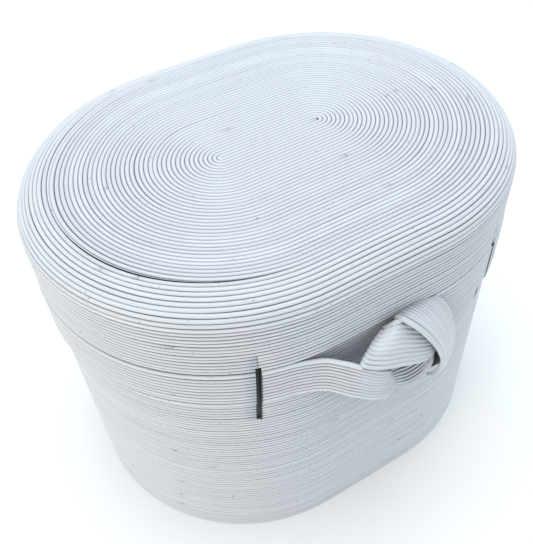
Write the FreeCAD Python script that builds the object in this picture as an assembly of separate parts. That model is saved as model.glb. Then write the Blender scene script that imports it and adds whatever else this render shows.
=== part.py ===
"""Storage trunk in painted pencil reed, with a hinged lid and a knotted reed belt.

The plan is a stadium: two half circles joined by a straight run. +X is the long axis, the
knotted belt faces -Y, the hinges are at +Y, and the origin is the middle of the underside.
Every hoop, wall and reed covering is one profile (distance from the nearest focus, height)
carried round the stadium. Units are millimetres.
"""
import FreeCAD, Part
import math
import os

# Driving dimensions
LID_R = 230.0            # half width over the lid's side reeds
STRAIGHT = 127.0         # length of the straight run between the two half circles
HEIGHT = 453.0           # floor to the top of the coiled lid
SEAM_Z = 358.0           # height of the joint between body and lid
REED = 5.0               # diameter of one pencil reed, and so the depth of a covering
BELT_HEIGHT = 54.0       # ten reeds, just under the seam

# Body
BODY_R = LID_R - 4.0                  # over the body's reeds
BELT_R = BODY_R + REED + 0.5          # the belt lies on top of the body's reeds
WALL = 8.0                            # bent plywood
WALL_R = BODY_R - REED                # outside of the plywood wall
BASE = 9.0                            # thickness of the base board
RAIL_HEIGHT = 7.0
RAIL_R_IN = WALL_R - 14.0             # inside of the two solid wood rails
COVER_TOP = SEAM_Z - 0.4              # the body's reeds stop just short of the rail's top
SLOT_ANGLES = {-1: 20.7, 1: 27.2}     # left and right, from the front, about the nearest focus
SLOT_LEANS = {-1: 2.5, 1: 0.0}        # how far a slot's foot leans away from the knot
SLOT_WIDTH = 6.0
SLOT_FOOT = 265.0                     # lowest point of the two belt slots
LINER = 1.2                           # thickness of the dark strip that lines each slot

# Lid
REST_GAP = 0.4                        # between the two rails when the lid is shut
SEAM_GAP = 1.0                        # from the seam to the lid's lowest reed
EDGE_ACROSS = 39.0                    # the rounded lid edge is a quarter ellipse
EDGE_DOWN = 29.0
TOP_R = LID_R - EDGE_ACROSS           # edge of the flat top
TOP_BOARD = 8.0
LID_WALL_R = LID_R - REED
EDGE_Z = HEIGHT - EDGE_DOWN

# Hinges, two on the straight run at the back
HINGE_X = 38.0                        # from the middle to each hinge
HINGE_LENGTH = 42.0
PIN_Y = LID_R + 6.0
PIN_Z = SEAM_Z + REST_GAP
KNUCKLE_R = 3.5
PIN_R = 1.5
RUNNING_FIT = 0.05
KNUCKLE_GAP = 0.4
LEAF = 1.8
LEAF_DROP = 34.0
SCREW_R = 3.0
SHANK_R = 1.5
SCREW_HEAD = 1.2
SCREW_PITCH = 13.0

V = FreeCAD.Vector
UP = V(0, 0, 1)
ALONG_X = V(1, 0, 0)
FOCUS = STRAIGHT / 2


def save(name, shape):
    """Write one sub-part."""
    if not shape.isValid():
        print("invalid:", name)
    print(f"{name:24s} {len(shape.Solids)} solid(s) {shape.Volume / 1000:9.2f} cm3")
    shape.exportStep(f"parts/{name}.step")


def box(low, high):
    """A box between two corners."""
    size = V(*high) - V(*low)
    return Part.makeBox(size.x, size.y, size.z, V(*low))


def stadium(radius, low, high):
    """A solid stadium between two heights."""
    height = high - low
    ends = [Part.makeCylinder(radius, height, V(x, 0, low)) for x in (-FOCUS, FOCUS)]
    middle = box((-FOCUS, -radius, low), (FOCUS, radius, high))
    return middle.multiFuse(ends).removeSplitter()


def ring(outer, inner, low, high):
    """A wall between two stadium outlines."""
    return stadium(outer, low, high).cut(stadium(inner, low, high))


def carry_round(edges):
    """Carry a closed profile of (distance, height) edges round the stadium."""
    face = Part.Face(Part.Wire(edges))
    right = face.copy()
    right.translate(V(FOCUS, 0, 0))
    left = right.mirror(V(0, 0, 0), ALONG_X)
    front = face.copy()
    front.rotate(V(0, 0, 0), UP, -90)
    front.translate(V(-FOCUS, 0, 0))
    back = front.mirror(V(0, 0, 0), V(0, 1, 0))
    right.rotate(V(FOCUS, 0, 0), UP, -90)
    left.rotate(V(-FOCUS, 0, 0), UP, -90)
    pieces = [
        right.revolve(V(FOCUS, 0, 0), UP, 180),
        left.revolve(V(-FOCUS, 0, 0), UP, 180),
        front.extrude(V(STRAIGHT, 0, 0)),
        back.extrude(V(STRAIGHT, 0, 0)),
    ]
    return pieces[0].multiFuse(pieces[1:]).removeSplitter()


def quarter_ellipse(across, down):
    """The lid edge's curve, from the flat top outwards and down to the vertical side."""
    ellipse = Part.Ellipse(V(TOP_R, 0, EDGE_Z), across, down)
    ellipse.Axis = V(0, -1, 0)
    ellipse.XAxis = ALONG_X
    return Part.ArcOfEllipse(ellipse, 0, math.pi / 2).toShape()


def polyline(*points):
    """Straight edges through (distance, height) points."""
    corners = [V(distance, 0, height) for distance, height in points]
    return [Part.makeLine(a, b) for a, b in zip(corners, corners[1:])]


def at_slot(shape, side):
    """Turn a shape built at the front of the right focus to the slot on one side."""
    turned = shape.copy()
    turned.rotate(V(FOCUS, 0, SEAM_Z), V(0, -1, 0), SLOT_LEANS[side])
    turned.rotate(V(FOCUS, 0, 0), UP, SLOT_ANGLES[side])
    return turned if side > 0 else turned.mirror(V(0, 0, 0), ALONG_X)


def slot_cutter(side):
    """The space of one belt slot, open at the top."""
    half = SLOT_WIDTH / 2
    low = (FOCUS - half, -BELT_R - REED, SLOT_FOOT)
    return at_slot(box(low, (FOCUS + half, -WALL_R + 1, SEAM_Z)), side)


def slot_liner(side):
    """The dark strip behind the slot and along its edge nearest the middle of the front."""
    half = SLOT_WIDTH / 2
    back = box((FOCUS - half, -WALL_R - LINER, SLOT_FOOT), (FOCUS + half, -WALL_R, COVER_TOP))
    near, far = FOCUS - half, FOCUS - half + LINER
    edge = box((near, -BODY_R, SLOT_FOOT), (far, -WALL_R, COVER_TOP))
    belt_edge = box((near, -BELT_R, SEAM_Z - BELT_HEIGHT), (far, -WALL_R, COVER_TOP))
    return at_slot(back.multiFuse([edge, belt_edge]).removeSplitter(), side)


def front_sector():
    """Everything in front between the two slots, over the belt's height."""
    reach = 2 * LID_R
    left, right = [math.tan(math.radians(SLOT_ANGLES[side])) * reach for side in (-1, 1)]
    points = [V(-FOCUS, 0, 0), V(-FOCUS - left, -reach, 0), V(FOCUS + right, -reach, 0), V(FOCUS, 0, 0)]
    face = Part.Face(Part.makePolygon(points + points[:1]))
    return face.extrude(V(0, 0, HEIGHT))


# The knot, as bands of reed. Each section is the middle of the band's two edges, (x, reach, z),
# where reach is how far the band stands out from the lid's face.
STRAP_END_X = -92.0      # the left strap leaves the wall here
STRAP_START_X = 84.0     # the right strap comes out from under the hood here
LIFTED_STRAP = [
    ((-92, 1.5, 355), (-92, 1.5, 306)),
    ((-75, 13, 355), (-75, 14, 306)),
    ((-54, 26, 349), (-52, 28, 297)),
    ((-34, 33, 333), (-29, 34, 283)),
    ((-18, 30, 318), (-8, 29, 276)),
    ((-9, 20, 305), (-2, 17, 286)),
]
WRAP = [
    ((-13, 10, 365), (-51, 31, 351)),
    ((-1, 14, 373), (-28, 34, 336)),
    ((24, 15, 366), (10, 33, 314)),
    ((44, 16, 349), (30, 31, 302)),
    ((66, 12, 308), (56, 21, 294)),
]
HOOD = [
    ((7, 6, 364), (64, 2.5, 352)),
    ((9, 20, 370), (75, 8, 338)),
    ((29, 33, 344), (88, 13, 290)),
    ((43, 34, 321), (90, 14, 262)),
    ((61, 29, 276), (81, 16, 234)),
    ((58, 16, 245), (64, 12, 232)),
]
LOOP = [
    ((-12, 22, 306), (-4, 20, 266)),
    ((18, 16, 292), (20, 18, 248)),
    ((45, 12, 290), (44, 18, 247)),
    ((63, 9, 298), (61, 17, 261)),
]
# The passes hidden inside the knot, as (x, z) outlines and how far each stands out
INNER_PASSES = [
    ([(-30, 330), (-4, 350), (30, 346), (52, 326), (64, 296), (60, 268), (20, 262), (-14, 286)], 14),
    ([(58, 326), (78, 312), (82, 262), (74, 244), (62, 250), (56, 290)], 9),
]


def place(point):
    """A knot point in the trunk's frame."""
    x, reach, z = point
    return V(x, -LID_R - reach, z)


def band(sections):
    """A flat band of reeds between the given pairs of edges, one reed deep."""
    pairs = [(place(a), place(b)) for a, b in sections]
    middles = [(a + b) * 0.5 for a, b in pairs]
    wires = []
    for index, (a, b) in enumerate(pairs):
        ahead = middles[min(index + 1, len(pairs) - 1)]
        behind = middles[max(index - 1, 0)]
        half = (ahead - behind).cross(b - a).normalize() * (REED / 2)
        wires.append(Part.makePolygon([a - half, b - half, b + half, a + half, a - half]))
    return Part.makeLoft(wires, True, True)


def inner_pass(outline, reach):
    """A pad against the body's reeds, standing out by the reach."""
    back = -BODY_R - 0.2
    corners = [V(x, back, z) for x, z in outline]
    face = Part.Face(Part.makePolygon(corners + corners[:1]))
    return face.extrude(V(0, -LID_R - reach - back, 0))


def knot():
    """The strap's passes through the overhand knot, joined as the one strap they are."""
    bands = [band(sections) for sections in (LIFTED_STRAP, WRAP, HOOD, LOOP)]
    pads = [inner_pass(outline, reach) for outline, reach in INNER_PASSES]
    return pads[0].multiFuse(pads[1:] + bands)


def knuckle(x, length, bore):
    """One barrel of a hinge, drilled for the pin."""
    centre = V(x, PIN_Y, PIN_Z)
    barrel = Part.makeCylinder(KNUCKLE_R, length, centre, ALONG_X)
    return barrel, Part.makeCylinder(bore, length, centre, ALONG_X)


def screw_places(side, z):
    """The three screws of a leaf."""
    return [(side * HINGE_X + step * SCREW_PITCH, z) for step in (-1, 0, 1)]


def screws(side, z, face):
    """Three round-headed screws, each a shank through the leaf and a head on it."""
    shapes = []
    for x, height in screw_places(side, z):
        shank = Part.makeCylinder(SHANK_R, LEAF, V(x, face, height), V(0, 1, 0))
        head = Part.makeCylinder(SCREW_R, SCREW_HEAD, V(x, face + LEAF, height), V(0, 1, 0))
        rim = [e for e in head.Edges if abs(e.BoundBox.YMin - face - LEAF - SCREW_HEAD) < 0.01]
        shapes.append(shank.fuse(head.makeFillet(SCREW_HEAD * 0.7, rim)))
    return Part.makeCompound(shapes)


def drilled(leaf, side, z, face):
    """Drill a leaf for its screws."""
    for x, height in screw_places(side, z):
        leaf = leaf.cut(Part.makeCylinder(SHANK_R, LEAF, V(x, face, height), V(0, 1, 0)))
    return leaf


BODY_SCREW_Z = SEAM_Z - LEAF_DROP / 2 - 3
LID_SCREW_Z = SEAM_Z + LEAF_DROP / 2 + 6


def body_leaf(side):
    """The lower leaf, on the belt, with the two outer knuckles."""
    start = side * HINGE_X - HINGE_LENGTH / 2
    third = HINGE_LENGTH / 3
    leaf = box((start, BELT_R, SEAM_Z - LEAF_DROP), (start + HINGE_LENGTH, BELT_R + LEAF, PIN_Z - 6))
    leaf = drilled(leaf, side, BODY_SCREW_Z, BELT_R)
    for x in (start, start + 2 * third + KNUCKLE_GAP):
        length = third - KNUCKLE_GAP
        barrel, bore = knuckle(x, length, PIN_R)
        neck = box((x, BELT_R, PIN_Z - 6), (x + length, BELT_R + LEAF, PIN_Z))
        leaf = leaf.fuse(neck).fuse(barrel).cut(bore)
    return leaf.removeSplitter()


def lid_leaf(side):
    """The upper leaf, on the lid's side, stepped out to the middle knuckle."""
    start = side * HINGE_X - HINGE_LENGTH / 2
    third = HINGE_LENGTH / 3
    foot = PIN_Z + 4.2
    leaf = box((start, LID_R, foot), (start + HINGE_LENGTH, LID_R + LEAF, SEAM_Z + LEAF_DROP + 4))
    leaf = drilled(leaf, side, LID_SCREW_Z, LID_R)
    x = start + third
    barrel, bore = knuckle(x, third, PIN_R + RUNNING_FIT)
    step = box((x, LID_R, PIN_Z + 1.8), (x + third, PIN_Y, foot))
    return leaf.fuse(step).fuse(barrel).cut(bore).removeSplitter()


def pin(side):
    """The hinge pin, held by the outer knuckles."""
    start = side * HINGE_X - HINGE_LENGTH / 2
    return Part.makeCylinder(PIN_R, HINGE_LENGTH, V(start, PIN_Y, PIN_Z), ALONG_X)


os.makedirs("parts", exist_ok=True)

# Body frame
save("base_board", stadium(WALL_R, 0, BASE))
save("body_wall", ring(WALL_R, WALL_R - WALL, BASE, SEAM_Z - RAIL_HEIGHT))
save("body_top_rail", ring(WALL_R, RAIL_R_IN, SEAM_Z - RAIL_HEIGHT, SEAM_Z))

# Body reeds, belt and straps
slots = [slot_cutter(side) for side in (-1, 1)]
cover = ring(BODY_R, WALL_R, 0, COVER_TOP)
belt = ring(BELT_R, BODY_R, SEAM_Z - BELT_HEIGHT, COVER_TOP)
front = belt.common(front_sector())
save("body_reed_wrap", cover.cut(slots[0]).cut(slots[1]))
save("belt_wrap", belt.cut(front_sector()).cut(slots[0]).cut(slots[1]))
reach = 2 * LID_R
left_space = box((-reach, -reach, 0), (STRAP_END_X, 0, HEIGHT))
right_space = box((STRAP_START_X, -reach, 0), (reach, 0, HEIGHT))
save("strap_left", front.common(left_space).cut(slots[0]))
save("strap_right", front.common(right_space).cut(slots[1]))
save("slot_liner_left", slot_liner(-1))
save("slot_liner_right", slot_liner(1))
save("tied_knot", knot())

# Lid frame
save("lid_rim_rail", ring(LID_WALL_R, RAIL_R_IN, PIN_Z, PIN_Z + RAIL_HEIGHT))
save("lid_wall", ring(LID_WALL_R, LID_WALL_R - WALL, PIN_Z + RAIL_HEIGHT, EDGE_Z))
save("lid_top_board", stadium(TOP_R, HEIGHT - REED - TOP_BOARD, HEIGHT - REED))
hoop_in = LID_WALL_R - WALL
board_foot = HEIGHT - REED - TOP_BOARD
hoop_edges = polyline((LID_WALL_R, EDGE_Z), (hoop_in, EDGE_Z), (hoop_in, EDGE_Z + 8),
                      (hoop_in - 12, board_foot), (TOP_R, board_foot), (TOP_R, HEIGHT - REED))
save("lid_edge_hoop", carry_round([quarter_ellipse(EDGE_ACROSS - REED, EDGE_DOWN - REED)] + hoop_edges))

# Lid reeds
save("lid_top_coil", stadium(TOP_R, HEIGHT - REED, HEIGHT))
edge_edges = [quarter_ellipse(EDGE_ACROSS, EDGE_DOWN), quarter_ellipse(EDGE_ACROSS - REED, EDGE_DOWN - REED)]
edge_edges += polyline((TOP_R, HEIGHT), (TOP_R, HEIGHT - REED))
edge_edges += polyline((LID_R, EDGE_Z), (LID_WALL_R, EDGE_Z))
save("lid_edge_wrap", carry_round(Part.__sortEdges__(edge_edges)))
save("lid_side_wrap", ring(LID_R, LID_WALL_R, SEAM_Z + SEAM_GAP, EDGE_Z))

# Hinges
for side, word in ((-1, "left"), (1, "right")):
    save(f"hinge_{word}_body_leaf", body_leaf(side))
    save(f"hinge_{word}_body_screws", screws(side, BODY_SCREW_Z, BELT_R))
    save(f"hinge_{word}_pin", pin(side))
    save(f"hinge_{word}_lid_leaf", lid_leaf(side))
    save(f"hinge_{word}_lid_screws", screws(side, LID_SCREW_Z, LID_R))
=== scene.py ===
"""Storage trunk in painted pencil reed: a coiled lid, ringed sides and a reed belt tied in a knot.

Every reed is a round tube laid along its own route round the trunk's stadium plan. +X is the
long axis, the knot is at -Y, the hinges are at +Y. Lengths are metres.
"""
import math
import random
from collections import namedtuple

import bmesh
import bpy
from bpy.props import FloatProperty, FloatVectorProperty, IntProperty, PointerProperty
from mathutils import Matrix, Vector, noise


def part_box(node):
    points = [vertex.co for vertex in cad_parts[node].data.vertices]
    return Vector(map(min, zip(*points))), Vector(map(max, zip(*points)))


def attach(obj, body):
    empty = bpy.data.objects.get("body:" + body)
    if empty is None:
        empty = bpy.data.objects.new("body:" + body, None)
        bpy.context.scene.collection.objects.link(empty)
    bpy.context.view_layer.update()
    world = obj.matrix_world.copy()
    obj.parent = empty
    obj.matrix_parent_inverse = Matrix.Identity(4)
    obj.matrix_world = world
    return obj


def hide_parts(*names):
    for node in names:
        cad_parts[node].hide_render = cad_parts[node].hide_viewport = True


bl_info = {
    "name": "Pencil reed storage trunk",
    "version": (1, 0, 0),
    "blender": (4, 5, 0),
    "location": "View3D > Sidebar > Trunk",
    "description": "Lays the reeds, ties the belt and finishes the wood and hinges of a storage trunk",
    "category": "Object",
}

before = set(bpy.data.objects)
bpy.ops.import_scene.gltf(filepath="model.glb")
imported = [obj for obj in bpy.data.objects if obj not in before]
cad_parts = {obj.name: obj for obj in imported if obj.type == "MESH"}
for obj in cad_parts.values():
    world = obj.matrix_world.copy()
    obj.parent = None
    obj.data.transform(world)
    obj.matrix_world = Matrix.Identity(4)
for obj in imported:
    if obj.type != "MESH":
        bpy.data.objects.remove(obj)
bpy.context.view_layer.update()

MM = 0.001
UP = Vector((0, 0, 1))

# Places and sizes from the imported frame
SIDE_LOW, SIDE_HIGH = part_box("lid_side_wrap")
LID_R = SIDE_HIGH.y
FOCUS = SIDE_HIGH.x - SIDE_HIGH.y          # the two half circles are centred at -FOCUS and +FOCUS
TOP_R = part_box("lid_top_coil")[1].y
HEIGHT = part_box("lid_top_coil")[1].z
EDGE_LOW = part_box("lid_edge_wrap")[0].z
BODY_LOW, BODY_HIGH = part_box("body_reed_wrap")
BODY_R = BODY_HIGH.y
BELT_LOW, BELT_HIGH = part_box("belt_wrap")
BELT_R = BELT_HIGH.y
SLOT_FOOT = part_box("slot_liner_left")[0].z
SLOT_WIDTH = 6 * MM


def slot_angle(strap_end):
    """How far round the nearest focus a belt slot stands, from the strap's end on the slot's near edge."""
    return math.asin((abs(strap_end) - FOCUS) / BELT_R) + SLOT_WIDTH / 2 / BELT_R


LEFT_LEAN = math.radians(2.5)      # the left slot's foot leans away from the knot
LEFT_SLOT = slot_angle(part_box("strap_left")[0].x)
RIGHT_SLOT = slot_angle(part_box("strap_right")[1].x)


def linear(colour):
    """An sRGB hex colour as linear RGB."""
    parts = [int(colour[i:i + 2], 16) / 255 for i in (1, 3, 5)]
    return [p / 12.92 if p <= 0.04045 else ((p + 0.055) / 1.055) ** 2.4 for p in parts]


class TrunkReeds(bpy.types.PropertyGroup):
    """Sizes of the reeds and how evenly they lie."""

    turns: IntProperty(name="Lid turns", description="Turns of the coil on the flat top",
                       default=37, min=4)
    edge_rings: IntProperty(name="Edge rings", description="Reeds over the lid's rounded edge",
                            default=10, min=3)
    side_rings: IntProperty(name="Side rings", description="Reeds down the lid's side",
                            default=13, min=3)
    body_rings: IntProperty(name="Body rings", description="Reeds from the floor to the seam",
                            default=70, min=10)
    belt_rings: IntProperty(name="Belt rings", description="Reeds in the belt and its knot",
                            default=10, min=4)
    sides: IntProperty(name="Sides", description="Corners of one reed's section", default=10, min=6)
    bend_step: FloatProperty(name="Bend step", description="Turn between two sections of a bent reed",
                             default=math.radians(3.75), unit="ROTATION")
    wander: FloatProperty(name="Wander", description="How far a reed strays from its line",
                          default=0.35 * MM, unit="LENGTH")
    joint: FloatProperty(name="Joint", description="Gap where two lengths of reed butt", default=0.45 * MM,
                         unit="LENGTH")
    knot_radius: FloatProperty(name="Knot radius", description="Radius of a full reed in the knot",
                               default=2.65 * MM, unit="LENGTH")
    slot_width: FloatProperty(name="Slot width", description="Width of the belt slots", default=SLOT_WIDTH,
                              unit="LENGTH")
    dish: FloatProperty(name="Dish", description="How far the middle of the lid sinks", default=1.5 * MM,
                        unit="LENGTH")


class TrunkFinish(bpy.types.PropertyGroup):
    """Colours of the paint, the wood and the metal, and the dark colours of dust, staining and painted shade.
    """

    paint: FloatVectorProperty(name="Paint", description="Brushed paint on the reeds",
                               default=linear("#cfd3d8"), subtype="COLOR", min=0, max=1)
    # The colour of the grooves is partly dust and thin paint, partly painted shade between neighbouring reeds
    groove_dust_and_shade: FloatVectorProperty(name="Groove", description="Dust and thin paint between reeds",
                                default=linear("#6e6f7b"), subtype="COLOR", min=0, max=1)
    scuff: FloatVectorProperty(name="Scuff", description="Small marks where the paint is knocked",
                               default=linear("#77706b"), subtype="COLOR", min=0, max=1)
    # Painted shade: the colour of the reeds placed deep in the knot, where there is only shadow
    knot_deep_shade: FloatVectorProperty(name="Bare reed", description="Unpainted reed inside the knot, gone dark",
                              default=linear("#413a37"), subtype="COLOR", min=0, max=1)
    ply: FloatVectorProperty(name="Plywood", description="Birch plywood", default=linear("#c9ad82"),
                             subtype="COLOR", min=0, max=1)
    rail: FloatVectorProperty(name="Rail", description="Beech rails", default=linear("#b88f62"),
                              subtype="COLOR", min=0, max=1)
    # Also painted shade: this dark colour fills the outer faces under the reeds and the grooves deep in the
    # knot
    stain_and_shade: FloatVectorProperty(name="Stain", description="Dark stain in the slots and under the reeds",
                               default=linear("#26282a"), subtype="COLOR", min=0, max=1)
    zinc: FloatVectorProperty(name="Zinc", description="Dulled zinc on the hinges",
                              default=linear("#a9abad"), subtype="COLOR", min=0, max=1)


class TrunkStage(bpy.types.PropertyGroup):
    """Camera and light."""

    azimuth: FloatProperty(name="Azimuth", description="Camera's turn round the trunk",
                           default=math.radians(-27.34), unit="ROTATION")
    elevation: FloatProperty(name="Elevation", description="Camera's height above the horizon",
                             default=math.radians(46.65), unit="ROTATION")
    roll: FloatProperty(name="Roll", description="Camera's tilt about its own axis",
                        default=math.radians(-4.275), unit="ROTATION")
    distance: FloatProperty(name="Distance", description="From the camera to its aim", default=0.9228,
                            unit="LENGTH")
    aim_x: FloatProperty(name="Aim x", description="Where the camera looks, along X", default=-0.0167,
                         unit="LENGTH")
    aim_z: FloatProperty(name="Aim z", description="Where the camera looks, above the floor",
                         default=0.2357, unit="LENGTH")
    lens: FloatProperty(name="Lens", description="Focal length", default=44.83, unit="CAMERA")
    floor: FloatVectorProperty(name="Floor", description="Floor colour", default=linear("#f5f5f5"),
                               subtype="COLOR", min=0, max=1)
    cool: FloatVectorProperty(name="Cool light", description="Colour of the sky and the overhead light",
                              default=(0.90, 0.96, 1.0), subtype="COLOR", min=0, max=1)
    warm: FloatVectorProperty(name="Warm light", description="Colour of the light from the left",
                              default=(1.0, 0.82, 0.58), subtype="COLOR", min=0, max=1)
    sky: FloatProperty(name="Sky", description="Strength of the even light", default=1.03, min=0)
    overhead: FloatProperty(name="Overhead", description="Power of the overhead light", default=21.0,
                            unit="POWER")
    side: FloatProperty(name="Side", description="Power of the light from the left", default=14.5,
                        unit="POWER")


def props(name):
    """One of the trunk's property groups."""
    return getattr(bpy.context.scene, name)


# Materials ------------------------------------------------------------------------------------

SMOOTH = {"interpolation_type": "SMOOTHSTEP"}
BLEND = {"data_type": "RGBA"}


def tone(colour, share=1.0):
    """A colour made lighter or darker, as RGBA."""
    return [part * share for part in colour] + [1.0]


def add(tree, kind, settings=None, inputs=None):
    """Add a node, set its settings, and link or set its inputs."""
    node = tree.nodes.new(kind)
    for name, value in (settings or {}).items():
        setattr(node, name, value)
    for key, value in (inputs or {}).items():
        if isinstance(value, bpy.types.NodeSocket):
            tree.links.new(value, node.inputs[key])
        else:
            node.inputs[key].default_value = value
    return node


def blank(name):
    """A new material with its shader, ready for a pattern."""
    material = bpy.data.materials.get(name) or bpy.data.materials.new(name)
    material.use_nodes = True
    tree = material.node_tree
    tree.nodes.clear()
    shader = add(tree, "ShaderNodeBsdfPrincipled")
    add(tree, "ShaderNodeOutputMaterial", inputs={"Surface": shader.outputs["BSDF"]})
    return material, tree, shader


def reed_finish(name, coat, groove_dust_and_shade, roughness):
    """A round reed with a matt coat that darkens low down, beside its neighbours, partly with dust and thin
    paint, partly as painted shade.

    The coat is even from afar. Close to, each length takes it a little differently, the cane's
    fibres show as faint streaks along the reed, and a few knocks have left small marks.
    """
    material, tree, shader = blank(name)
    reed = add(tree, "ShaderNodeAttribute", {"attribute_name": "reed"})
    number, turn, crest = add(tree, "ShaderNodeSeparateXYZ", inputs={0: reed.outputs["Vector"]}).outputs
    place = add(tree, "ShaderNodeTexCoord").outputs["Object"]
    own_number = add(tree, "ShaderNodeMath", {"operation": "MULTIPLY"}, {0: number, 1: 7.0}).outputs[0]
    own = add(tree, "ShaderNodeVectorMath", {"operation": "ADD"}, {0: place, 1: own_number}).outputs[0]
    # Fibre streaks 25 mm long, about nine round a reed
    round_reed = add(tree, "ShaderNodeMath", {"operation": "MULTIPLY"}, {0: turn, 1: 4.5}).outputs[0]
    streak = add(tree, "ShaderNodeTexNoise", {"noise_dimensions": "4D"},
                 {"Vector": own, "W": round_reed, "Scale": 40.0, "Detail": 3.0, "Roughness": 0.6}).outputs[0]
    # Brushing in clouds about 60 mm across
    cloud = add(tree, "ShaderNodeTexNoise", {}, {"Vector": own, "Scale": 16.0, "Detail": 2.0}).outputs[0]
    # Marks of 2 to 3 mm, only where patches of 40 mm let them through
    mark = add(tree, "ShaderNodeTexNoise", {}, {"Vector": own, "Scale": 330.0, "Detail": 1.0}).outputs[0]
    patch = add(tree, "ShaderNodeTexNoise", {}, {"Vector": own, "Scale": 25.0, "Detail": 0.0}).outputs[0]

    by_reed = add(tree, "ShaderNodeMix", BLEND, {0: number, 6: tone(coat), 7: tone(coat, 0.90)}).outputs[2]
    cloudy = add(tree, "ShaderNodeMapRange", SMOOTH, {0: cloud, 1: 0.35, 2: 0.65, 3: 0.0, 4: 0.5}).outputs[0]
    brushed = add(tree, "ShaderNodeMix", BLEND, {0: cloudy, 6: by_reed, 7: tone(coat, 0.92)}).outputs[2]
    fibre = add(tree, "ShaderNodeMapRange", SMOOTH, {0: streak, 1: 0.5, 2: 0.72, 3: 0.0, 4: 0.22}).outputs[0]
    streaked = add(tree, "ShaderNodeMix", BLEND, {0: fibre, 6: brushed, 7: tone(groove_dust_and_shade)}).outputs[2]
    marked = add(tree, "ShaderNodeMapRange", SMOOTH, {0: mark, 1: 0.70, 2: 0.73}).outputs[0]
    allowed = add(tree, "ShaderNodeMapRange", SMOOTH, {0: patch, 1: 0.62, 2: 0.70, 3: 0.0, 4: 0.8}).outputs[0]
    knocks = add(tree, "ShaderNodeMath", {"operation": "MULTIPLY"}, {0: marked, 1: allowed}).outputs[0]
    scuff = tone(props("trunk_finish").scuff)
    scuffed = add(tree, "ShaderNodeMix", BLEND, {0: knocks, 6: streaked, 7: scuff}).outputs[2]
    # Painted shade with dust: away from its crest, down its sides beside its neighbours, a reed takes the
    # darker colour of the grooves
    low = add(tree, "ShaderNodeMapRange", SMOOTH, {0: crest, 1: 0.70, 2: 0.10, 3: 0.0, 4: 0.9}).outputs[0]
    colour = add(tree, "ShaderNodeMix", BLEND, {0: low, 6: scuffed, 7: tone(groove_dust_and_shade)}).outputs[2]
    rough = add(tree, "ShaderNodeMapRange", {},
                {0: streak, 1: 0.3, 2: 0.8, 3: roughness, 4: roughness + 0.15}).outputs[0]
    bump = add(tree, "ShaderNodeBump", inputs={"Height": streak, "Strength": 0.35, "Distance": 0.15 * MM})
    tree.links.new(colour, shader.inputs["Base Color"])
    tree.links.new(rough, shader.inputs["Roughness"])
    tree.links.new(bump.outputs[0], shader.inputs["Normal"])
    return material


def painted_reed():
    """Rattan core, round, brushed with thin matt paint: pale crests, and grooves darkened by dust and painted
    shade.
    """
    finish = props("trunk_finish")
    return reed_finish("painted_rattan_core_brushed", finish.paint, finish.groove_dust_and_shade, 0.5)


def shade_painted_reed():
    """Rattan core of the knot's lower loop, in painted shade for the wrap's shadow over it: a darker coat and
    nearly black grooves.
    """
    finish = props("trunk_finish")
    # Painted shade: the loop's coat is the paint darkened to 0.85
    thin = [part * 0.85 for part in finish.paint]
    return reed_finish("painted_rattan_core_in_painted_shade", thin, finish.stain_and_shade, 0.6)


def deep_shade_reed():
    """Painted shade: a nearly black reed for the passes deep in the knot, where there is only shadow, darkest
    in its grooves.
    """
    finish = props("trunk_finish")
    return reed_finish("rattan_core_painted_deep_shade", finish.knot_deep_shade, finish.stain_and_shade, 0.7)


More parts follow.
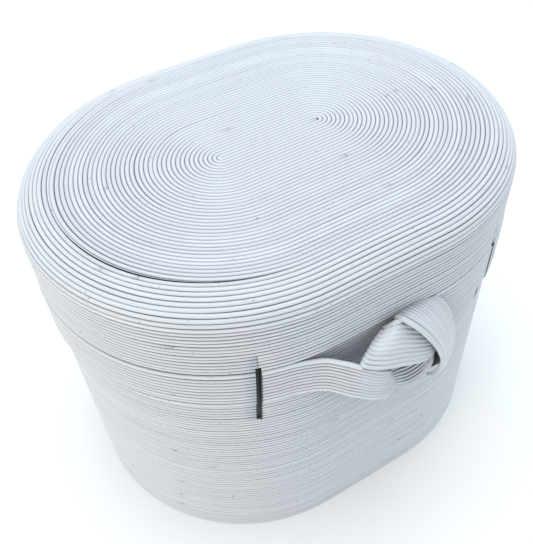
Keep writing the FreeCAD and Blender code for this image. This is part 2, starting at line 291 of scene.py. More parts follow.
def timber(name, colour, grain_scale, shade_painted_up=0.0):
    """Sanded wood: fine grain lines drawn out along one axis, with slow changes of tone.

    grain_scale is how many times per metre the grain varies along X, Y and Z. The faces that look
    out of the trunk, under the reeds, are dark with painted shade for the gaps between the reeds;
    shade_painted_up of 1 does the same for the faces that look up.
    """
    material, tree, shader = blank(name)
    coordinates = add(tree, "ShaderNodeTexCoord").outputs
    place = coordinates["Object"]
    stretched = add(tree, "ShaderNodeMapping", {}, {"Vector": place, "Scale": grain_scale}).outputs[0]
    grain = add(tree, "ShaderNodeTexNoise", {},
                {"Vector": stretched, "Scale": 1.0, "Detail": 6.0, "Roughness": 0.65}).outputs[0]
    # The slow changes are four times as wide as the grain
    wide = add(tree, "ShaderNodeTexNoise", {}, {"Vector": stretched, "Scale": 0.25, "Detail": 2.0}).outputs[0]
    light = tone(colour)
    dark = [colour[0] * 0.62, colour[1] * 0.55, colour[2] * 0.46, 1.0]
    slow = add(tree, "ShaderNodeMapRange", SMOOTH, {0: wide, 1: 0.35, 2: 0.7, 3: 0.0, 4: 0.45}).outputs[0]
    fine = add(tree, "ShaderNodeMapRange", SMOOTH, {0: grain, 1: 0.48, 2: 0.70, 3: 0.0, 4: 0.55}).outputs[0]
    board = add(tree, "ShaderNodeMix", BLEND, {0: slow, 6: light, 7: dark}).outputs[2]
    sanded = add(tree, "ShaderNodeMix", BLEND, {0: fine, 6: board, 7: dark}).outputs[2]
    # Outwards is from the nearest point of the line between the two focuses
    x, y, _ = add(tree, "ShaderNodeSeparateXYZ", inputs={0: place}).outputs
    right = add(tree, "ShaderNodeMath", {"operation": "MINIMUM"}, {0: x, 1: FOCUS}).outputs[0]
    nearest = add(tree, "ShaderNodeMath", {"operation": "MAXIMUM"}, {0: right, 1: -FOCUS}).outputs[0]
    out_x = add(tree, "ShaderNodeMath", {"operation": "SUBTRACT"}, {0: x, 1: nearest}).outputs[0]
    out = add(tree, "ShaderNodeCombineXYZ", inputs={0: out_x, 1: y, 2: shade_painted_up}).outputs[0]
    facing = add(tree, "ShaderNodeVectorMath", {"operation": "DOT_PRODUCT"},
                 {0: coordinates["Normal"], 1: out}).outputs["Value"]
    # The dot product is at least the plan's half width on an outer face, and below zero on an inner one
    # Painted shade: faces that look outwards, seen only through gaps between the reeds, take the dark colour
    outside = add(tree, "ShaderNodeMath", {"operation": "GREATER_THAN"}, {0: facing, 1: 0.03}).outputs[0]
    stain_and_shade = tone(props("trunk_finish").stain_and_shade)
    surface = add(tree, "ShaderNodeMix", BLEND, {0: outside, 6: sanded, 7: stain_and_shade}).outputs[2]
    rough = add(tree, "ShaderNodeMapRange", {}, {0: grain, 1: 0.3, 2: 0.8, 3: 0.42, 4: 0.6}).outputs[0]
    bump = add(tree, "ShaderNodeBump", inputs={"Height": grain, "Strength": 0.2, "Distance": 0.2 * MM})
    tree.links.new(surface, shader.inputs["Base Color"])
    tree.links.new(rough, shader.inputs["Roughness"])
    tree.links.new(bump.outputs[0], shader.inputs["Normal"])
    return material


def dulled_zinc():
    """Pressed steel with a thin zinc plate, gone dull: grey, with a soft blotchy sheen."""
    material, tree, shader = blank("pressed_steel_dulled_zinc")
    place = add(tree, "ShaderNodeTexCoord").outputs["Object"]
    # Blotches of 4 to 5 mm
    blotch = add(tree, "ShaderNodeTexNoise", {}, {"Vector": place, "Scale": 220.0, "Detail": 4.0}).outputs[0]
    zinc = props("trunk_finish").zinc
    dull = add(tree, "ShaderNodeMapRange", SMOOTH, {0: blotch, 1: 0.4, 2: 0.75, 3: 0.0, 4: 0.7}).outputs[0]
    colour = add(tree, "ShaderNodeMix", BLEND, {0: dull, 6: tone(zinc), 7: tone(zinc, 0.55)}).outputs[2]
    rough = add(tree, "ShaderNodeMapRange", {}, {0: blotch, 1: 0.3, 2: 0.7, 3: 0.28, 4: 0.5}).outputs[0]
    tree.links.new(colour, shader.inputs["Base Color"])
    tree.links.new(rough, shader.inputs["Roughness"])
    shader.inputs["Metallic"].default_value = 1.0
    return material


# Routes ---------------------------------------------------------------------------------------

# One stretch of a reed's route: an arc about a centre, or a straight shift
Move = namedtuple("Move", "centre turn shift length")
# A walker on the route: where it is, and its heading as an angle from +X
Walker = namedtuple("Walker", "point heading")


def straight(shift):
    """A straight stretch."""
    return Move(None, 0.0, Vector(shift), Vector(shift).length)


def arc(centre, radius, turn=math.pi):
    """A stretch bent about a vertical axis."""
    return Move(Vector(centre), turn, None, radius * turn)


def lap(radius):
    """Once round the stadium, anticlockwise from the middle of the front."""
    return [straight((FOCUS, 0, 0)), arc((FOCUS, 0, 0), radius), straight((-2 * FOCUS, 0, 0)),
            arc((-FOCUS, 0, 0), radius), straight((FOCUS, 0, 0))]


def part(move, share):
    """A share of one stretch."""
    shift = move.shift * share if move.shift else None
    return Move(move.centre, move.turn * share, shift, move.length * share)


def cut(moves, length):
    """Cut a route in two at a length from its start."""
    head = []
    rest = list(moves)
    while rest and length > 0:
        move = rest.pop(0)
        if move.length <= length:
            head.append(move)
            length -= move.length
        else:
            share = length / move.length
            head.append(part(move, share))
            rest.insert(0, part(move, 1 - share))
            break
    return head, rest


def walk(walker, moves):
    """Where the walker is after some stretches."""
    point, heading = walker
    for move in moves:
        if move.centre is None:
            point = point + move.shift
        else:
            arm = Matrix.Rotation(move.turn, 3, "Z") @ Vector((point - move.centre).xy.to_3d())
            point = Vector((move.centre.x + arm.x, move.centre.y + arm.y, point.z))
            heading += move.turn
    return Walker(point, heading)


# Reeds ----------------------------------------------------------------------------------------

# A reed's radius over the reeds' spacing: over a half they press together, under it they gape
TOP_FILL = 0.505
EDGE_FILL = 0.515
SIDE_FILL = 0.475
BODY_FILL = 0.47
BAND_FILL = 0.47
# The most that a reed in the knot may be thicker than its own radius, where the band spreads
MOST_GIRTH = 1.4
# Distance between two sections of a straight reed
STRAIGHT_STEP = 16 * MM
# Lengths of cane in the lid's coil, shortest and longest
CANE = (2.4, 4.2)
# Where a ring's two ends may meet, as shares of its length from the middle of the front
JOINT_SPAN = (0.1, 0.9)
# Rings of the lid's side that the seam above a belt slot cuts through
SEAMED_RINGS = 5
# The outer turns gape at the front left: the angles where that starts and ends, how wide it is, and
# how far out on the lid it begins, as a share of the flat top
GAPE_START, GAPE_END = 182, 266
GAPE_WIDTH = 2.1 * MM
GAPE_ROOT = 0.72
NOISE_SEED = 7
# The pale crest of a reed on a wall looks a little down, so the darker colour of its grooves, dust and
# painted shade, reaches further over its upper side
DUST_AND_SHADE_LEAN = -0.22
# The reed at the edge of a knot band, and the belt's top reed under the seam, turn their pale crests far over
# to that edge, so the painted shade of the grooves leaves that side and it shows light
EDGE_LIGHT_LEAN = 0.9


def begin_reed(bm, place, radius, lean):
    """Start a reed with a capped ring. Local X of place points out of the trunk.

    Each vertex keeps the reed's own number, its turn round the reed and how near it is to the
    crest, which the paint reads. lean is the angle from local X to the crest.
    """
    layer = bm.verts.layers.float_vector.new("reed")
    sides = props("trunk_reeds").sides
    made = bmesh.ops.create_circle(bm, cap_ends=True, segments=sides, radius=radius, matrix=place)
    number = random.random()
    inverse = place.inverted()
    for vert in made["verts"]:
        local = inverse @ vert.co
        turn = math.atan2(local.y, local.x) - lean
        turn = math.atan2(math.sin(turn), math.cos(turn))
        vert[layer] = (number, turn / math.pi, math.cos(turn))
    return list({edge for vert in made["verts"] for edge in vert.link_edges})


def extend(bm, ring):
    """Extrude the last ring of a reed; the new verts lie on the old ones."""
    made = bmesh.ops.extrude_edge_only(bm, edges=ring)["geom"]
    fresh = {item for item in made if isinstance(item, bmesh.types.BMVert)}
    ring = [item for item in made if isinstance(item, bmesh.types.BMEdge) and fresh.issuperset(item.verts)]
    return list(fresh), ring


def end_reed(bm, ring, piece):
    """Cap the reed, face it outwards and add it to its piece."""
    bmesh.ops.contextual_create(bm, geom=ring)
    bmesh.ops.recalc_face_normals(bm, faces=bm.faces)
    for face in bm.faces:
        face.smooth = len(face.verts) == 4
    mesh = bpy.data.meshes.new("reed")
    bm.to_mesh(mesh)
    bm.free()
    piece.from_mesh(mesh)
    bpy.data.meshes.remove(mesh)


def lay(piece, walker, moves, radius, lean=0.0):
    """Lay one reed along a route at one height."""
    step = props("trunk_reeds").bend_step
    bm = bmesh.new()
    ahead = Vector((math.cos(walker.heading), math.sin(walker.heading), 0))
    out = ahead.cross(UP)
    place = Matrix((out, UP, -ahead)).transposed().to_4x4()
    place.translation = walker.point
    ring = begin_reed(bm, place, radius, lean)
    for move in moves:
        if move.centre is None:
            steps = max(1, round(move.length / STRAIGHT_STEP))
            for _ in range(steps):
                fresh, ring = extend(bm, ring)
                bmesh.ops.translate(bm, verts=fresh, vec=move.shift / steps)
        else:
            steps = max(1, round(move.turn / step))
            verts = list({vert for edge in ring for vert in edge.verts})
            made = bmesh.ops.spin(bm, geom=verts + ring, cent=move.centre, axis=UP,
                                  angle=move.turn, steps=steps)
            ring = [item for item in made["geom_last"] if isinstance(item, bmesh.types.BMEdge)]
    end_reed(bm, ring, piece)
    return walk(walker, moves)


def lay_course(piece, distance, height, radius, cuts, lean=0.0, skip=()):
    """Lay a course round the stadium in lengths, with a (place, width) gap at every cut.

    Places are lengths from the middle of the front; skip lists the lengths to leave out.
    """
    route = lap(distance)
    total = sum(move.length for move in route)
    cuts = sorted((place % total, width) for place, width in cuts)
    following = cuts[1:] + [(cuts[0][0] + total, cuts[0][1])]
    start = Walker(Vector((0, -distance, height)), 0.0)
    for index, ((place, width), (end, end_width)) in enumerate(zip(cuts, following)):
        if index in skip:
            continue
        before, rest = cut(route + route, place + width / 2)
        moves, _ = cut(rest, end - end_width / 2 - place - width / 2)
        lay(piece, walk(start, before), moves, radius, lean)


def slot_places(distance, height):
    """Where the left and right slots cross a course; LEFT_SLOT holds at the belt's foot."""
    total = sum(move.length for move in lap(distance))
    slant = (BELT_LOW.z - height) * math.tan(LEFT_LEAN)
    return total - FOCUS - distance * LEFT_SLOT - slant, FOCUS + distance * RIGHT_SLOT


def wander(bm, amount):
    """Let each reed stray a little from its line, as bent cane does."""
    layer = bm.verts.layers.float_vector["reed"]
    # Unseeded, this noise starts from the clock and differs from run to run
    noise.seed_set(NOISE_SEED)
    for vert in bm.verts:
        own = Vector((0, 0, vert[layer][0] * 40))
        vert.co += noise.noise_vector(vert.co * 9 + own) * amount


def finish_piece(bm, name, body, slot, material, *nodes):
    """Make the object, put it on its body and let it stand for its CAD nodes."""
    mesh = bpy.data.meshes.new(name)
    bm.to_mesh(mesh)
    bm.free()
    mesh.materials.append(material)
    piece = bpy.data.objects.new(name, mesh)
    bpy.context.scene.collection.objects.link(piece)
    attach(piece, body)
    if nodes:
        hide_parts(*nodes)
    return piece


class LayLidTop(bpy.types.Operator):
    """Coil one long oval spiral of reed over the lid's top"""

    bl_idname = "trunk.lay_lid_top"
    bl_label = "Coil the lid top"

    def execute(self, context):
        reeds = context.scene.trunk_reeds
        random.seed(11)
        pitch = TOP_R / (reeds.turns + 0.5)
        radius = pitch * TOP_FILL
        height = HEIGHT - radius
        route = [straight((-2 * FOCUS, 0, 0))]
        for turn in range(reeds.turns):
            route.append(arc((-FOCUS, -pitch / 2, 0), (turn + 0.5) * pitch))
            route.append(straight((2 * FOCUS, 0, 0)))
            route.append(arc((FOCUS, 0, 0), (turn + 1) * pitch))
            route.append(straight((-2 * FOCUS, 0, 0)))
        bm = bmesh.new()
        walker = Walker(Vector((FOCUS, 0, height)), math.pi)
        while route:
            length, route = cut(route, random.uniform(*CANE))
            walker = lay(bm, walker, length, radius, math.pi / 2)
            gap, route = cut(route, reeds.joint)
            walker = walk(walker, gap)
        self.close_coil(bm, walker, pitch, radius, reeds.turns)
        wander(bm, reeds.wander)
        self.shape_top(bm, reeds.dish)
        finish_piece(bm, "lid_top_reeds", "lid", "painted_reed", painted_reed(), "lid_top_coil")
        return {"FINISHED"}

    def close_coil(self, bm, walker, pitch, radius, turns):
        """Pare the last reed away to nothing in the wedge between the coil and the first ring."""
        centre = Vector((-FOCUS, -pitch / 4, 0))
        reach = (turns + 0.25) * pitch
        before = len(bm.verts)
        lay(bm, Walker(walker.point, math.pi), [arc(centre, reach, math.radians(150))], radius, math.pi / 2)
        for vert in list(bm.verts)[before:]:
            arm = (vert.co - centre).xy
            share = 0.5 + 0.5 * arm.y / arm.length
            middle = Vector((centre.x, centre.y, walker.point.z)) + (arm / arm.length * reach).to_3d()
            vert.co = middle + (vert.co - middle) * max(0.1, share)

    def shape_top(self, bm, dish):
        """Sink the middle of the lid, and draw the outer turns in at the front left, where they gape."""
        for vert in bm.verts:
            near = Vector((max(-FOCUS, min(FOCUS, vert.co.x)), 0, 0))
            arm = (vert.co - near).xy
            share = min(1.0, arm.length / TOP_R)
            vert.co.z -= dish * (1 - share ** 2)
            if arm.length < 1e-6:
                continue
            turn = math.degrees(math.atan2(arm.y, arm.x)) % 360
            along = max(0.0, min(1.0, (turn - GAPE_START) / (GAPE_END - GAPE_START)))
            outer = max(0.0, (share - GAPE_ROOT) / (1 - GAPE_ROOT))
            pull = GAPE_WIDTH * math.sin(math.pi * along) * outer ** 1.5
            vert.co.x -= arm.x / arm.length * pull
            vert.co.y -= arm.y / arm.length * pull


class LayLidEdge(bpy.types.Operator):
    """Lay the rings over the lid's rounded edge"""

    bl_idname = "trunk.lay_lid_edge"
    bl_label = "Ring the lid edge"

    def execute(self, context):
        reeds = context.scene.trunk_reeds
        random.seed(23)
        bm = bmesh.new()
        across = LID_R - TOP_R
        down = HEIGHT - EDGE_LOW
        for angle, radius in self.places(across, down, reeds.edge_rings):
            distance = TOP_R + (across - radius) * math.sin(angle)
            height = EDGE_LOW + (down - radius) * math.cos(angle)
            lean = math.atan2(math.cos(angle) / down, math.sin(angle) / across)
            total = sum(move.length for move in lap(distance))
            cuts = [(random.uniform(*JOINT_SPAN) * total, reeds.joint)]
            lay_course(bm, distance, height, radius, cuts, lean)
        wander(bm, reeds.wander)
        finish_piece(bm, "lid_edge_reeds", "lid", "painted_reed", painted_reed(), "lid_edge_wrap")
        return {"FINISHED"}

    def places(self, across, down, count):
        """Even places along the quarter ellipse through the reeds' middles."""
        depth = 2.5 * MM
        fine = 400
        lengths = [0.0]
        for step in range(fine):
            angle = math.pi / 2 * (step + 0.5) / fine
            pace = math.hypot((across - depth) * math.cos(angle), (down - depth) * math.sin(angle))
            lengths.append(lengths[-1] + pace * math.pi / 2 / fine)
        for index in range(count):
            target = lengths[-1] * (index + 0.5) / count
            step = next(i for i, length in enumerate(lengths) if length >= target)
            yield math.pi / 2 * step / fine, lengths[-1] / count * EDGE_FILL


class LayLidSide(bpy.types.Operator):
    """Lay the rings down the lid's side, with a notch and a seam over each belt slot"""

    bl_idname = "trunk.lay_lid_side"
    bl_label = "Ring the lid side"

    def execute(self, context):
        reeds = context.scene.trunk_reeds
        random.seed(37)
        bm = bmesh.new()
        pitch = (EDGE_LOW - SIDE_LOW.z) / reeds.side_rings
        radius = pitch * SIDE_FILL
        distance = LID_R - radius
        total = sum(move.length for move in lap(distance))
        for ring in range(reeds.side_rings):
            width = reeds.slot_width if ring == 0 else reeds.joint
            cuts = [(place, width) for place in slot_places(distance, SIDE_LOW.z)]
            if ring >= SEAMED_RINGS:
                cuts = [(random.uniform(*JOINT_SPAN) * total, reeds.joint)]
            lay_course(bm, distance, SIDE_LOW.z + (ring + 0.5) * pitch, radius, cuts, DUST_AND_SHADE_LEAN)
        wander(bm, reeds.wander)
        finish_piece(bm, "lid_side_reeds", "lid", "painted_reed", painted_reed(), "lid_side_wrap")
        return {"FINISHED"}


class LayBody(bpy.types.Operator):
    """Lay the rings of the body from the floor to the seam"""

    bl_idname = "trunk.lay_body"
    bl_label = "Ring the body"

    def execute(self, context):
        reeds = context.scene.trunk_reeds
        random.seed(41)
        bm = bmesh.new()
        pitch = (BODY_HIGH.z - BODY_LOW.z) / reeds.body_rings
        radius = pitch * BODY_FILL
        distance = BODY_R - radius
        total = sum(move.length for move in lap(distance))
        for ring in range(reeds.body_rings):
            height = BODY_LOW.z + (ring + 0.5) * pitch
            cuts = [(random.uniform(0.0, 1.0) * total, reeds.joint)]
            if height > SLOT_FOOT:
                cuts = [(place, reeds.slot_width) for place in slot_places(distance, height)]
            lay_course(bm, distance, height, radius, cuts, DUST_AND_SHADE_LEAN)
        wander(bm, reeds.wander)
        finish_piece(bm, "body_reeds", "body", "painted_reed", painted_reed(), "body_reed_wrap")
        return {"FINISHED"}


class LayBelt(bpy.types.Operator):
    """Lay the belt round the back, from the right slot to the left one"""

    bl_idname = "trunk.lay_belt"
    bl_label = "Lay the belt"

    def execute(self, context):
        reeds = context.scene.trunk_reeds
        random.seed(53)
        bm = bmesh.new()
        pitch = (BELT_HIGH.z - BELT_LOW.z) / reeds.belt_rings
        radius = pitch * SIDE_FILL
        distance = BELT_R - radius
        for ring in range(reeds.belt_rings):
            height = BELT_LOW.z + (ring + 0.5) * pitch
            cuts = [(place, reeds.slot_width) for place in slot_places(distance, height)]
            lean = EDGE_LIGHT_LEAN if ring == reeds.belt_rings - 1 else DUST_AND_SHADE_LEAN
            # The second length, across the front, is the strap
            lay_course(bm, distance, height, radius, cuts, lean, skip=(1,))
        wander(bm, reeds.wander)
        finish_piece(bm, "belt_reeds", "body", "painted_reed", painted_reed(), "belt_wrap")
        return {"FINISHED"}


# The knot -------------------------------------------------------------------------------------

# The strap's passes. Each section is the band's two edges in millimetres, (x, reach, z), where
# reach is how far the band stands out from the lid's face.
LIFTED = [
    ((-91, 0.8, 357.5), (-91, 0.8, 304)),
    ((-83, 4.5, 357.5), (-83, 5, 304)),
    ((-77, 8.5, 357.5), (-77, 9.5, 304)),
    ((-70, 15, 357), (-69, 16, 302)),
    ((-62, 22, 355.5), (-61, 23, 299)),
    ((-54, 28, 351.5), (-51, 29, 295)),
    ((-44, 32, 344), (-41, 32, 288)),
    ((-34, 33, 334), (-29, 34, 281)),
    ((-25, 32, 326), (-18, 33, 276)),
    ((-18, 30, 318), (-8, 29, 275)),
    ((-12, 26, 311), (-2, 24, 280)),
    ((-9, 20, 304), (-3, 17, 288)),
]
WRAP = [
    ((0, 3.5, 354), (-38, 22, 340)),
    ((-5, 6, 357), (-50, 27, 349)),
    ((-7, 9, 360), (-52, 31, 349)),
    ((-3, 11, 366), (-43, 34, 344)),
    ((1, 13, 371), (-29, 35, 336)),
    ((8, 12, 369), (-10, 34, 325)),
    ((21, 12, 359), (10, 33, 313)),
    ((43, 13, 342), (30, 31, 302)),
    ((58, 13, 324), (46, 27, 297)),
    ((66, 12, 306), (56, 21, 294)),
]
HOOD = [
    ((13, 3.5, 352), (66, -1, 344)),
    ((7, 4, 360), (63, -0.5, 354.5)),
    ((4, 8, 367), (67, 3, 354)),
    ((4, 14, 372), (73, 6, 346)),
    ((9, 22, 370), (78, 9, 335)),
    ((18, 29, 361), (84, 11, 316)),
    ((29, 33, 345), (90, 12.5, 290)),
    ((43, 34, 321), (92, 13, 262)),
    ((55, 32, 294), (89, 14, 243)),
    ((63, 28, 271), (81, 15, 232)),
    ((66, 20, 243), (73, 14, 226)),
    ((60, 13, 233), (64, 9, 227)),
]
LOOP = [
    ((-12, 22, 306), (-4, 20, 264)),
    ((4, 18, 298), (9, 18, 253)),
    ((18, 16, 292), (20, 18, 245)),
    ((32, 14, 290), (32, 18, 242)),
    ((45, 12, 290), (44, 18, 244)),
    ((56, 10, 294), (52, 18, 251)),
    ((63, 8, 298), (58, 17, 260)),
    ((68, 6, 303), (62, 13, 272)),
]
INNER = [
    ((54, -0.5, 302), (97, -3.5, 302)),
    ((54, 2, 276), (96, 1, 276)),
    ((57, 6, 254), (92, 5, 252)),
    ((64, 7, 232), (88, 5, 224)),
]


def knot_point(point):
    """A knot point in the trunk's frame."""
    x, reach, z = point
    return Vector((x * MM, -LID_R - reach * MM, z * MM))


def flush_section(x=None, angle=None):
    """The strap's section where it lies flat on the body, on the front or round a focus."""
    middle = (BODY_R + BELT_R) / 2
    if angle is None:
        foot = Vector((x, -middle, 0))
    else:
        side = math.copysign(1, angle)
        foot = Vector((side * FOCUS + middle * math.sin(angle), -middle * math.cos(angle), 0))
    return foot + UP * BELT_HIGH.z, foot + UP * BELT_LOW.z


def smooth_line(points, fine=4):
    """A smooth curve through the points, with places added so that each step becomes fine steps."""
    places = []
    for index in range(len(points) - 1):
        before, here, after, beyond = (points[max(0, min(len(points) - 1, index + k))] for k in (-1, 0, 1, 2))
        for step in range(fine):
            t = step / fine
            a = here * 2 + (after - before) * t
            b = (before * 2 - here * 5 + after * 4 - beyond) * t * t
            c = (here * 3 - before - after * 3 + beyond) * t ** 3
            places.append((a + b + c) / 2)
    return places + [points[-1]]


def lay_band(piece, sections, count, fill=BAND_FILL, lean=-DUST_AND_SHADE_LEAN, bulge=0.0, rims=(1.0, 1.0), hem=None):
    """Lay the reeds of a band side by side between its two edges.

    fill is a reed's radius over the reeds' spacing, bulge lifts the middle of the band, and rims
    thicken the first and the last reed. The first one's pale crest looks sideways, out of the band, so
    its outer side is free of painted shade; hem is the lean of the last one, where it differs from the
    others.
    """
    radius = props("trunk_reeds").knot_radius
    top = smooth_line([a for a, _ in sections])
    foot = smooth_line([b for _, b in sections])
    middles = [(a + b) / 2 for a, b in zip(top, foot)]
    last = len(middles) - 1
    aheads = [(middles[min(i + 1, last)] - middles[max(i - 1, 0)]).normalized() for i in range(last + 1)]
    outs = [(b - a).cross(ahead).normalized() for a, b, ahead in zip(top, foot, aheads)]
    # One sign for the whole band, so that a fold doesn't twist it
    face = -1 if outs[last // 2].y > 0 else 1
    for reed in range(count):
        share = (reed + 0.5) / count
        arch = bulge * 4 * share * (1 - share)
        girth = {0: rims[0], count - 1: rims[1]}.get(reed, 1.0)
        bm = bmesh.new()
        ring, previous = None, None
        for a, b, ahead, out in zip(top, foot, aheads, outs):
            out = out * face
            tight = min(MOST_GIRTH, (b - a).length / count / radius * fill) * girth
            point = a.lerp(b, share) + out * arch
            place = Matrix.Translation(point) @ Matrix((out, ahead.cross(out), ahead)).transposed().to_4x4()
            place = place @ Matrix.Scale(tight, 4)
            if ring is None:
                own_lean = {0: -EDGE_LIGHT_LEAN * face, count - 1: lean if hem is None else hem}.get(reed, lean)
                ring = begin_reed(bm, place, radius, own_lean)
            else:
                fresh, ring = extend(bm, ring)
                bmesh.ops.transform(bm, matrix=place @ previous.inverted(), verts=fresh)
            previous = place
        end_reed(bm, ring, piece)


class TieKnot(bpy.types.Operator):
    """Lay the front strap from slot to slot and tie it in an overhand knot"""

    bl_idname = "trunk.tie_knot"
    bl_label = "Tie the knot"

    def execute(self, context):
        reeds = context.scene.trunk_reeds
        random.seed(67)
        count = reeds.belt_rings
        trim = reeds.slot_width / 2 / BELT_R
        bm = bmesh.new()
        lift = math.asin((-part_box("strap_left")[1].x - FOCUS) / BELT_R)
        first = LEFT_SLOT - trim
        slant = (BELT_HIGH.z - BELT_LOW.z) * math.tan(LEFT_LEAN) / BELT_R
        left = [(flush_section(angle=slant - first)[0], flush_section(angle=-first)[1])]
        left += [flush_section(angle=-(first + (lift - first) * share)) for share in (0.33, 0.67)]
        lay_band(bm, left + self.placed(LIFTED), count, rims=(1.12, 1.12))
        right = [flush_section(x=50 * MM), flush_section(x=FOCUS)]
        right += [flush_section(angle=(RIGHT_SLOT - trim) * share) for share in (0.25, 0.5, 0.75, 1.0)]
        lay_band(bm, right, count)
        lay_band(bm, self.placed(WRAP), count, fill=0.7, lean=DUST_AND_SHADE_LEAN, bulge=1.5 * MM)
        # The hood is spread wider than the rest, so its reeds are split to lie finer
        lay_band(bm, self.placed(HOOD), round(count * 1.3), fill=0.5, lean=DUST_AND_SHADE_LEAN, bulge=3 * MM,
                 rims=(1.2, 1.0))
        wander(bm, reeds.wander * 0.5)
        nodes = ("strap_left", "strap_right", "tied_knot")
        finish_piece(bm, "knotted_strap_reeds", "body", "painted_reed", painted_reed(), *nodes)
        loop = bmesh.new()
        # Some of the loop's reeds are hidden behind the others. The loop is in painted shade for the wrap's
        # shadow: a darker coat and nearly black grooves
        lay_band(loop, self.placed(LOOP), round(count * 0.7), fill=0.43, lean=0.4, bulge=MM,
                 rims=(1.0, 1.3), hem=-0.4)
        finish_piece(loop, "knot_lower_loop_reeds", "body", "painted_reed", shade_painted_reed())
        # Painted shade: a band of nearly black reeds deep in the knot darkens the gap under the hood, where
        # there is only shadow
        inner = bmesh.new()
        lay_band(inner, self.placed(INNER), count)
        finish_piece(inner, "knot_inner_reeds", "body", "dark_liner", deep_shade_reed())
        return {"FINISHED"}

    def placed(self, sections):
        """The sections in the trunk's frame."""
        return [tuple(knot_point(point) for point in pair) for pair in sections]


class FinishFrame(bpy.types.Operator):
    """Give the wooden frame, the slot liners and the hinges their finishes"""

    bl_idname = "trunk.finish_frame"
    bl_label = "Finish the frame"

    def execute(self, context):
        finish = context.scene.trunk_finish
        # Grain lines of 2 to 3 mm, about 40 mm long: up the walls, along the boards, round the rails
        ply = timber("birch_plywood_bent_grain_upright", finish.ply, (420.0, 420.0, 25.0))
        base = timber("birch_plywood_sanded", finish.ply, (25.0, 420.0, 420.0))
        # Painted shade: the top board and the edge hoop are dark on their upper faces too, seen through gaps
        # in the reeds
        board = timber("birch_plywood_shade_painted_above", finish.ply, (25.0, 420.0, 420.0), shade_painted_up=1.0)
        rail = timber("beech_rail_planed", finish.rail, (30.0, 30.0, 420.0))
        hoop = timber("beech_hoop_shade_painted_above", finish.rail, (30.0, 30.0, 420.0), shade_painted_up=1.0)
        strip = timber("strip_wood_dark_stained", finish.stain_and_shade, (900.0, 900.0, 60.0))
        zinc = dulled_zinc()
        chosen = {"base_board": base, "body_wall": ply, "lid_wall": ply, "lid_top_board": board,
                  "body_top_rail": rail, "lid_rim_rail": rail, "lid_edge_hoop": hoop,
                  "slot_liner_left": strip, "slot_liner_right": strip}
        for name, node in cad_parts.items():
            material = zinc if name.startswith("hinge") else chosen.get(name)
            if material:
                node.data.materials.clear()
                node.data.materials.append(material)
        return {"FINISHED"}


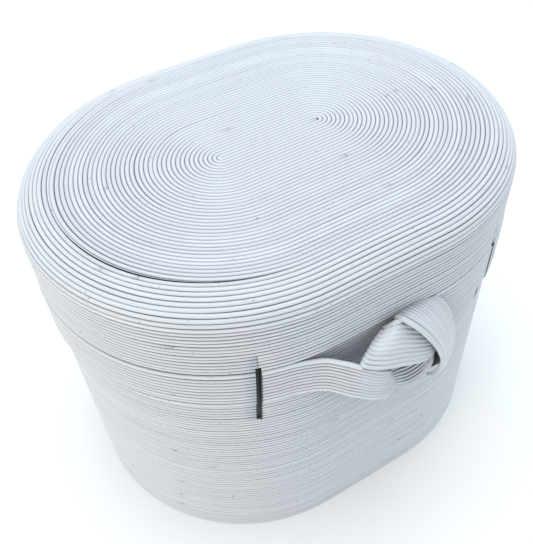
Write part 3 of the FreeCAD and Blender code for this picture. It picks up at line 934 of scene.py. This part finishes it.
class SetStage(bpy.types.Operator):
    """Set the floor, the soft light and the camera"""

    bl_idname = "trunk.set_stage"
    bl_label = "Set the stage"

    def execute(self, context):
        stage = context.scene.trunk_stage
        self.set_floor(stage)
        self.set_light(context.scene, stage)
        self.set_camera(context.scene, stage)
        return {"FINISHED"}

    def set_floor(self, stage):
        """A wide pale floor."""
        material, tree, shader = blank("pale_floor_matt")
        place = add(tree, "ShaderNodeTexCoord").outputs["Object"]
        cloud = add(tree, "ShaderNodeTexNoise", {}, {"Vector": place, "Scale": 1.5}).outputs[0]
        shades = {0: cloud, 6: tone(stage.floor), 7: tone(stage.floor, 0.985)}
        colour = add(tree, "ShaderNodeMix", BLEND, shades).outputs[2]
        tree.links.new(colour, shader.inputs["Base Color"])
        shader.inputs["Roughness"].default_value = 0.9
        shader.inputs["Specular IOR Level"].default_value = 0.1
        bm = bmesh.new()
        bmesh.ops.create_grid(bm, x_segments=1, y_segments=1, size=20)
        mesh = bpy.data.meshes.new("floor")
        bm.to_mesh(mesh)
        bm.free()
        mesh.materials.append(material)
        floor = bpy.data.objects.new("floor", mesh)
        bpy.context.scene.collection.objects.link(floor)

    def set_light(self, scene, stage):
        """An even cool sky, a large cool light overhead and a warm one low on the left."""
        world = bpy.data.worlds.new("sky")
        world.use_nodes = True
        sky = world.node_tree.nodes["Background"]
        sky.inputs["Color"].default_value = tone(stage.cool)
        sky.inputs["Strength"].default_value = stage.sky
        scene.world = world
        for name, power, colour, place in (("overhead", stage.overhead, stage.cool, (0.1, 0.2, 2.4)),
                                           ("side", stage.side, stage.warm, (-2.2, -0.7, 0.7))):
            lamp = bpy.data.lights.new(name, "AREA")
            lamp.shape = "DISK"
            lamp.size = 1.6
            lamp.energy = power
            lamp.color = colour
            light = bpy.data.objects.new(name, lamp)
            light.location = place
            light.rotation_euler = (Vector((0, 0, 0.3)) - light.location).to_track_quat("-Z", "Y").to_euler()
            scene.collection.objects.link(light)
        scene.view_settings.view_transform = "Standard"

    def set_camera(self, scene, stage):
        """The camera, looking down at the trunk's front left."""
        flat = math.cos(stage.elevation)
        back = Vector((math.sin(stage.azimuth) * flat, -math.cos(stage.azimuth) * flat,
                       math.sin(stage.elevation)))
        right = (-back).cross(UP).normalized()
        over = right.cross(-back)
        turn = Matrix.Rotation(stage.roll, 3, back)
        data = bpy.data.cameras.new("camera")
        data.lens = stage.lens
        data.clip_start = 0.05
        camera = bpy.data.objects.new("camera", data)
        axes = Matrix((turn @ right, turn @ over, back)).transposed().to_4x4()
        axes.translation = Vector((stage.aim_x, 0, stage.aim_z)) + back * stage.distance
        camera.matrix_world = axes
        scene.collection.objects.link(camera)
        scene.camera = camera


STEPS = (SetStage, LayLidTop, LayLidEdge, LayLidSide, LayBody, LayBelt, TieKnot, FinishFrame)


class TrunkPanel(bpy.types.Panel):
    """Everything that makes the trunk, in order"""

    bl_idname = "VIEW3D_PT_trunk"
    bl_label = "Reed trunk"
    bl_space_type = "VIEW_3D"
    bl_region_type = "UI"
    bl_category = "Trunk"

    def draw(self, context):
        for step in STEPS:
            self.layout.operator(step.bl_idname)
        for group in (context.scene.trunk_reeds, context.scene.trunk_finish, context.scene.trunk_stage):
            for name in group.bl_rna.properties.keys():
                if name not in ("rna_type", "name"):
                    self.layout.prop(group, name)


CLASSES = (TrunkReeds, TrunkFinish, TrunkStage) + STEPS + (TrunkPanel,)


def register():
    """Register the classes and hang the sizes on the scene."""
    for cls in CLASSES:
        bpy.utils.register_class(cls)
    bpy.types.Scene.trunk_reeds = PointerProperty(type=TrunkReeds)
    bpy.types.Scene.trunk_finish = PointerProperty(type=TrunkFinish)
    bpy.types.Scene.trunk_stage = PointerProperty(type=TrunkStage)


def unregister():
    """Take the classes and the sizes away again."""
    del bpy.types.Scene.trunk_stage
    del bpy.types.Scene.trunk_finish
    del bpy.types.Scene.trunk_reeds
    for cls in reversed(CLASSES):
        bpy.utils.unregister_class(cls)


def main():
    """Build the trunk round its frame."""
    register()
    for step in STEPS:
        area, name = step.bl_idname.split(".")
        getattr(getattr(bpy.ops, area), name)()


if __name__ == "__main__":
    main()
